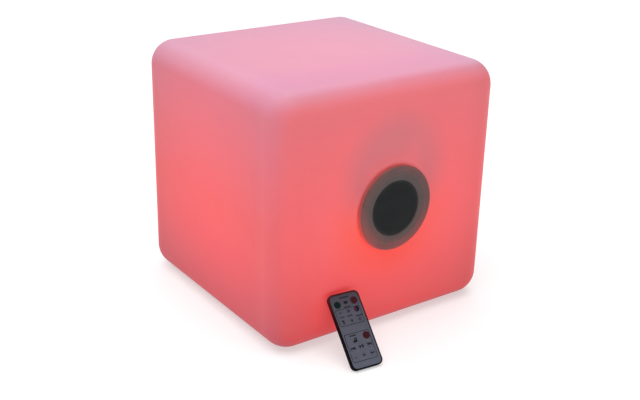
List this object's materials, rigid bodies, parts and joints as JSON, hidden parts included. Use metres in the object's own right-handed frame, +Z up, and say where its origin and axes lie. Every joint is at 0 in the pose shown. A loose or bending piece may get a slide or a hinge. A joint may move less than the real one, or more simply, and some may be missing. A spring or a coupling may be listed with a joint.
{
  "type": "led cube light",
  "caption": "Rounded glowing cube light with a round speaker in its front face, a lamp and battery module in its base, and a slim card remote leaning on it.",
  "frame": {"origin": "centre of the cube's square footprint, on the ground plane that its base rests on", "axes": "+Z up; the speaker face looks along -Y; +X to the right when facing the speaker; the card remote leans on the speaker face from -Y"},
  "size_m": [0.3, 0.3666, 0.293],
  "materials": {
    "shell": "milky moulded polyethylene, fine matt texture, lit from inside",
    "brass": "machined",
    "module_plastic": "moulded, satin",
    "gasket": "soft rubber",
    "screw_steel": "plated",
    "dome": "frosted",
    "white_board": "white solder mask",
    "led": "clear resin over a white body",
    "black_plastic": "moulded",
    "green_board": "solder mask",
    "battery_wrap": "shrink wrap",
    "cable": "matt jacket",
    "bezel": "translucent smoky grey, satin",
    "grille": "fine perforated steel, black",
    "frame_steel": "black stamped steel",
    "ferrite": "ground",
    "surround": "rolled rubber",
    "spider_cloth": "resin-dipped cotton",
    "cone_paper": "pressed pulp",
    "copper": "enamelled winding",
    "can_plastic": "moulded",
    "button": "soft touch",
    "cap_rubber": "soft rubber",
    "remote_plastic": "black, satin sides",
    "overlay": "printed film, blue grey",
    "ir_lens": "smoky lens",
    "cell_steel": "spun",
    "key_grey": "printed film",
    "key_green": "printed film, green",
    "key_red": "printed film, red",
    "key_colour": "printed film, three colours"
  },
  "bodies": {
    "root": {"cube_shell": "shell", "threaded_inserts": "brass", "base_housing": "module_plastic", "base_gasket": "gasket", "base_screws": "screw_steel", "light_dome": "dome", "dome_seal": "gasket", "dome_screws": "screw_steel", "led_board": "white_board", "rgb_leds": "led", "ir_receiver": "black_plastic", "control_board": "green_board", "board_components": "black_plastic", "battery_cells": "battery_wrap", "battery_straps": "module_plastic", "switch_body": "black_plastic", "charge_jack": "black_plastic", "cable_grommets": "gasket", "speaker_cable": "cable", "speaker_bezel": "bezel", "bezel_gasket": "gasket", "speaker_grille": "grille", "speaker_frame": "frame_steel", "magnet": "ferrite", "top_plate": "frame_steel", "yoke": "frame_steel", "cone_surround": "surround", "spider": "spider_cloth", "speaker_screws": "screw_steel", "rear_enclosure": "can_plastic", "clamp_ring": "can_plastic"},
    "cone": {"speaker_cone": "cone_paper", "voice_coil": "copper", "dust_cap": "cone_paper"},
    "power_button": {"power_button": "button"},
    "charge_cap": {"jack_cap": "cap_rubber"},
    "handset": {"remote_body": "remote_plastic", "remote_front_frame": "remote_plastic", "remote_keypad": "overlay", "remote_board": "green_board", "remote_ir_led": "ir_lens"},
    "battery_tray": {"remote_battery_tray": "remote_plastic", "remote_coin_cell": "cell_steel"},
    "key_light_on": {"key_light_on": "key_green"},
    "key_light_mode": {"key_light_mode": "key_grey"},
    "key_light_off": {"key_light_off": "key_red"},
    "key_dimmer": {"key_dimmer": "key_grey"},
    "key_brighter": {"key_brighter": "key_grey"},
    "key_colour": {"key_colour": "key_colour"},
    "key_fade": {"key_fade": "key_grey"},
    "key_flash": {"key_flash": "key_grey"},
    "key_timer": {"key_timer": "key_grey"},
    "key_source": {"key_source": "key_grey"},
    "key_sound_off": {"key_sound_off": "key_red"},
    "key_previous": {"key_previous": "key_grey"},
    "key_play": {"key_play": "key_grey"},
    "key_next": {"key_next": "key_grey"},
    "key_volume_down": {"key_volume_down": "key_grey"},
    "key_mute": {"key_mute": "key_grey"},
    "key_volume_up": {"key_volume_up": "key_grey"}
  },
  "joints": [
    {"name": "battery_tray_slide", "type": "slide", "parent": "handset", "child": "battery_tray", "axis": [-0.0686, -0.7, -0.7108], "range_m": [0, 0.0245]},
    {"name": "charge_cap_flap", "type": "hinge", "parent": "root", "child": "charge_cap", "pos_m": [0.018, 0.0068, 0.0135], "axis": [1, 0, 0], "range_deg": [0, 100]},
    {"name": "cone_travel", "type": "slide", "parent": "root", "child": "cone", "axis": [0, 1, 0], "range_m": [-0.0012, 0.0012], "stiffness_N_per_m": 700, "deforming": ["cone_surround", "spider"]},
    {"name": "handset_lift", "type": "slide", "parent": "root", "child": "handset", "axis": [-0.0694, -0.7074, 0.7034], "range_m": [0, 0.12]},
    {"name": "power_button_press", "type": "slide", "parent": "root", "child": "power_button", "axis": [0, 0, 1], "range_m": [0, 0.0012], "stiffness_N_per_m": 300, "springref_m": -0.0008},
    {"name": "key_light_on_press", "type": "slide", "parent": "handset", "child": "key_light_on", "axis": [0.0694, 0.7074, -0.7034], "range_m": [0, 0.0003], "stiffness_N_per_m": 250, "springref_m": -0.0004},
    {"name": "key_light_mode_press", "type": "slide", "parent": "handset", "child": "key_light_mode", "axis": [0.0694, 0.7074, -0.7034], "range_m": [0, 0.0003], "stiffness_N_per_m": 250, "springref_m": -0.0004},
    {"name": "key_light_off_press", "type": "slide", "parent": "handset", "child": "key_light_off", "axis": [0.0694, 0.7074, -0.7034], "range_m": [0, 0.0003], "stiffness_N_per_m": 250, "springref_m": -0.0004},
    {"name": "key_dimmer_press", "type": "slide", "parent": "handset", "child": "key_dimmer", "axis": [0.0694, 0.7074, -0.7034], "range_m": [0, 0.0003], "stiffness_N_per_m": 250, "springref_m": -0.0004},
    {"name": "key_brighter_press", "type": "slide", "parent": "handset", "child": "key_brighter", "axis": [0.0694, 0.7074, -0.7034], "range_m": [0, 0.0003], "stiffness_N_per_m": 250, "springref_m": -0.0004},
    {"name": "key_colour_press", "type": "slide", "parent": "handset", "child": "key_colour", "axis": [0.0694, 0.7074, -0.7034], "range_m": [0, 0.0003], "stiffness_N_per_m": 250, "springref_m": -0.0004},
    {"name": "key_fade_press", "type": "slide", "parent": "handset", "child": "key_fade", "axis": [0.0694, 0.7074, -0.7034], "range_m": [0, 0.0003], "stiffness_N_per_m": 250, "springref_m": -0.0004},
    {"name": "key_flash_press", "type": "slide", "parent": "handset", "child": "key_flash", "axis": [0.0694, 0.7074, -0.7034], "range_m": [0, 0.0003], "stiffness_N_per_m": 250, "springref_m": -0.0004},
    {"name": "key_timer_press", "type": "slide", "parent": "handset", "child": "key_timer", "axis": [0.0694, 0.7074, -0.7034], "range_m": [0, 0.0003], "stiffness_N_per_m": 250, "springref_m": -0.0004},
    {"name": "key_source_press", "type": "slide", "parent": "handset", "child": "key_source", "axis": [0.0694, 0.7074, -0.7034], "range_m": [0, 0.0003], "stiffness_N_per_m": 250, "springref_m": -0.0004},
    {"name": "key_sound_off_press", "type": "slide", "parent": "handset", "child": "key_sound_off", "axis": [0.0694, 0.7074, -0.7034], "range_m": [0, 0.0003], "stiffness_N_per_m": 250, "springref_m": -0.0004},
    {"name": "key_previous_press", "type": "slide", "parent": "handset", "child": "key_previous", "axis": [0.0694, 0.7074, -0.7034], "range_m": [0, 0.0003], "stiffness_N_per_m": 250, "springref_m": -0.0004},
    {"name": "key_play_press", "type": "slide", "parent": "handset", "child": "key_play", "axis": [0.0694, 0.7074, -0.7034], "range_m": [0, 0.0003], "stiffness_N_per_m": 250, "springref_m": -0.0004},
    {"name": "key_next_press", "type": "slide", "parent": "handset", "child": "key_next", "axis": [0.0694, 0.7074, -0.7034], "range_m": [0, 0.0003], "stiffness_N_per_m": 250, "springref_m": -0.0004},
    {"name": "key_volume_down_press", "type": "slide", "parent": "handset", "child": "key_volume_down", "axis": [0.0694, 0.7074, -0.7034], "range_m": [0, 0.0003], "stiffness_N_per_m": 250, "springref_m": -0.0004},
    {"name": "key_mute_press", "type": "slide", "parent": "handset", "child": "key_mute", "axis": [0.0694, 0.7074, -0.7034], "range_m": [0, 0.0003], "stiffness_N_per_m": 250, "springref_m": -0.0004},
    {"name": "key_volume_up_press", "type": "slide", "parent": "handset", "child": "key_volume_up", "axis": [0.0694, 0.7074, -0.7034], "range_m": [0, 0.0003], "stiffness_N_per_m": 250, "springref_m": -0.0004}
  ]
}
